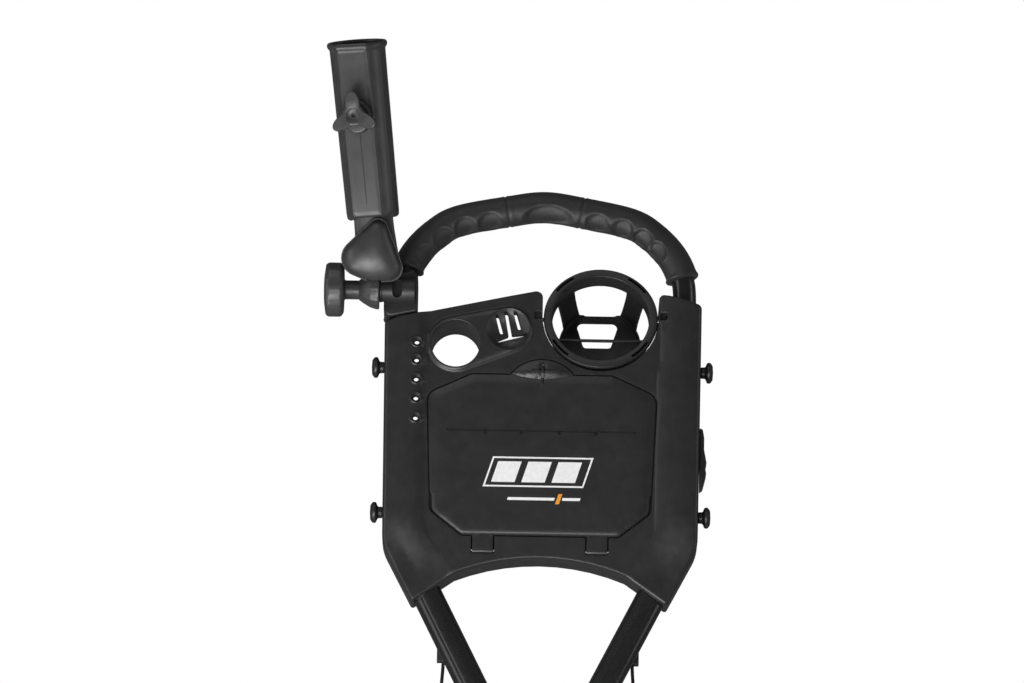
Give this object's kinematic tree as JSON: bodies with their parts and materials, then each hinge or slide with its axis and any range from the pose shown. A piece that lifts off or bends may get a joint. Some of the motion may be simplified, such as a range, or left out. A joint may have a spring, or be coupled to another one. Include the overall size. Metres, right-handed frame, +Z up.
{
  "type": "golf push cart handle console",
  "caption": "Head of a folding golf push cart: padded loop handle, console with lidded tray, ball hole, swing cup holder and umbrella tube on a two-axis clamp.",
  "frame": {"origin": "middle of the flat foot of the frame clevis", "axes": "+Z up along the console, -Y towards the golfer, +X to the golfer's right"},
  "size_m": [0.3527, 0.2411, 0.7598],
  "materials": {
    "moulded_plastic": "fine moulded texture, black",
    "soft_grip": "soft matte black",
    "painted_tube": "gloss black paint",
    "satin_plastic": "satin black with fine scuffs",
    "plain_steel": "zinc plated"
  },
  "bodies": {
    "frame_foot": {"frame_clevis": "satin_plastic", "fold_pin": "plain_steel"},
    "cart_head": {"handle_tube": "painted_tube", "lower_tube_left": "painted_tube", "lower_tube_right": "painted_tube", "grip_left": "soft_grip", "grip_centre": "soft_grip", "grip_right": "soft_grip", "console_front": "moulded_plastic", "console_rear": "moulded_plastic", "console_screw_1": "plain_steel", "console_screw_2": "plain_steel", "console_screw_3": "plain_steel", "console_screw_4": "plain_steel", "console_screw_5": "plain_steel", "console_screw_6": "plain_steel", "storage_tray": "moulded_plastic", "lid_pin_left": "plain_steel", "lid_pin_right": "plain_steel", "cup_pin_left": "plain_steel", "cup_pin_right": "plain_steel", "strap_peg_upper_left": "moulded_plastic", "strap_peg_upper_right": "moulded_plastic", "strap_peg_lower_left": "moulded_plastic", "strap_peg_lower_right": "moulded_plastic", "side_clip": "moulded_plastic", "clamp_body": "satin_plastic", "clamp_strap": "satin_plastic", "clamp_screw_1": "plain_steel", "clamp_screw_2": "plain_steel", "fold_bracket": "satin_plastic", "bag_cradle_wire": "painted_tube", "cradle_lug_left": "satin_plastic", "cradle_lug_right": "satin_plastic"},
    "lid": {"lid_panel": "moulded_plastic"},
    "cup_holder": {"cup_ring": "moulded_plastic", "cup_basket": "moulded_plastic"},
    "swivel": {"swivel_collar": "satin_plastic", "tilt_cap": "satin_plastic", "tilt_pin": "plain_steel"},
    "knob": {"swivel_knob": "satin_plastic"},
    "umbrella": {"umbrella_tube": "satin_plastic"},
    "thumb": {"thumb_screw": "satin_plastic"},
    "fold_lock": {"fold_lock_knob": "satin_plastic"}
  },
  "joints": [
    {"name": "fold", "type": "hinge", "parent": "frame_foot", "child": "cart_head", "pos_m": [0, 0, 0.043], "axis": [1, 0, 0], "range_deg": [0, 95]},
    {"name": "lid_hinge", "type": "hinge", "parent": "cart_head", "child": "lid", "pos_m": [0, -0.0116, 0.303], "axis": [1, 0, 0], "range_deg": [0, 100]},
    {"name": "cup_swing", "type": "hinge", "parent": "cart_head", "child": "cup_holder", "pos_m": [0.0518, -0.0021, 0.5223], "axis": [1, 0, 0], "range_deg": [-9, 0]},
    {"name": "umbrella_lean", "type": "hinge", "parent": "cart_head", "child": "swivel", "pos_m": [-0.157, -0.025, 0.5403], "axis": [1, 0, 0], "range_deg": [-5, 50]},
    {"name": "umbrella_tilt", "type": "hinge", "parent": "swivel", "child": "umbrella", "pos_m": [-0.151, -0.03701, 0.57158], "axis": [0, 0.9336, 0.3584], "range_deg": [-45, 45]},
    {"name": "lean_knob_turn", "type": "hinge", "parent": "cart_head", "child": "knob", "pos_m": [-0.1789, -0.025, 0.5403], "axis": [1, 0, 0], "continuous": true},
    {"name": "thumb_turn", "type": "hinge", "parent": "umbrella", "child": "thumb", "pos_m": [-0.17217, -0.11392, 0.67641], "axis": [0.2067, 0.905, 0.3718], "continuous": true},
    {"name": "fold_lock_turn", "type": "hinge", "parent": "frame_foot", "child": "fold_lock", "pos_m": [0.0212, 0, 0.043], "axis": [1, 0, 0], "continuous": true}
  ]
}
